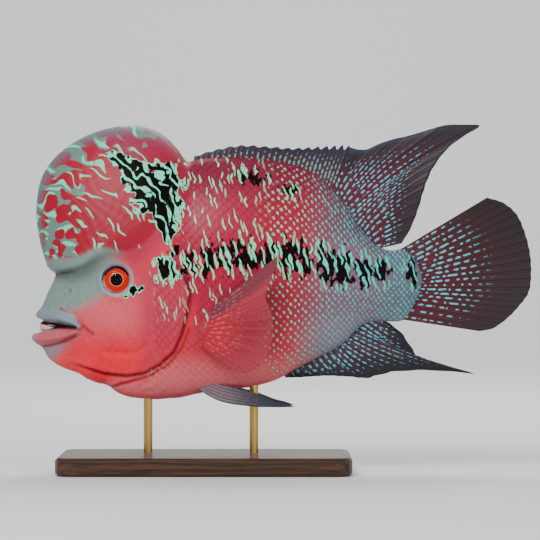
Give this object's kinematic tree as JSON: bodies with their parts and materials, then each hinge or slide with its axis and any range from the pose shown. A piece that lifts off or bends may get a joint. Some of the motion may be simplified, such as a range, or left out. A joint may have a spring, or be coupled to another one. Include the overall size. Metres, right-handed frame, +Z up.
{
  "type": "life-size flowerhorn cichlid model on a stand",
  "caption": "Still, life-size model of an adult flowerhorn cichlid with a tall forehead hump, red flanks and spread fins, held by two rods on a flat base.",
  "frame": {"origin": "middle of the bounding box at the underside of the base", "axes": "head points to -X, tail to +X, the fish's left side faces -Y, +Z is up"},
  "size_m": [0.2801, 0.092, 0.1956],
  "materials": {
    "hump_skin": "moist scaly skin of the forehead hump, red mottled with grey, dark brown and pale turquoise",
    "face_skin": "moist smooth skin of the face, lilac grey round the eye and salmon red on the cheek",
    "lip_skin": "moist lip skin, lilac grey and dusky pink",
    "mouth_skin": "wet pale pink lining of the mouth",
    "cover_skin": "scaly coral red gill cover with short pale turquoise dashes",
    "eye": "clear wet eye with a bright red iris and a black pupil",
    "red_skin": "scaled moist skin, red with pale mint spots and black blotches",
    "stalk_skin": "scaled moist skin, lilac grey with turquoise spots",
    "fin_skin": "thin fin membrane on ridged rays, maroon brown with turquoise dots",
    "breast_fin_skin": "thin translucent coral fin membrane on fine rays",
    "belly_fin_skin": "thin blue grey fin membrane on fine rays",
    "plinth_wood": "dark stained wood, satin",
    "rod_brass": "brushed brass rod"
  },
  "bodies": {
    "root": {"nuchal_hump": "hump_skin", "head": "face_skin", "lower_jaw": "face_skin", "upper_lip": "lip_skin", "lower_lip": "lip_skin", "mouth_floor": "mouth_skin", "gill_cover_left": "cover_skin", "gill_cover_right": "cover_skin", "eye_left": "eye", "eye_right": "eye", "trunk": "red_skin", "tail_stalk": "stalk_skin", "dorsal_fin_spiny": "fin_skin", "dorsal_fin_soft": "fin_skin", "tail_fin": "fin_skin", "anal_fin": "fin_skin", "pectoral_fin_left": "breast_fin_skin", "pectoral_fin_right": "breast_fin_skin", "pelvic_fin_left": "belly_fin_skin", "pelvic_fin_right": "belly_fin_skin", "stand_base": "plinth_wood", "stand_rod_front": "rod_brass", "stand_rod_rear": "rod_brass"}
  },
  "joints": []
}
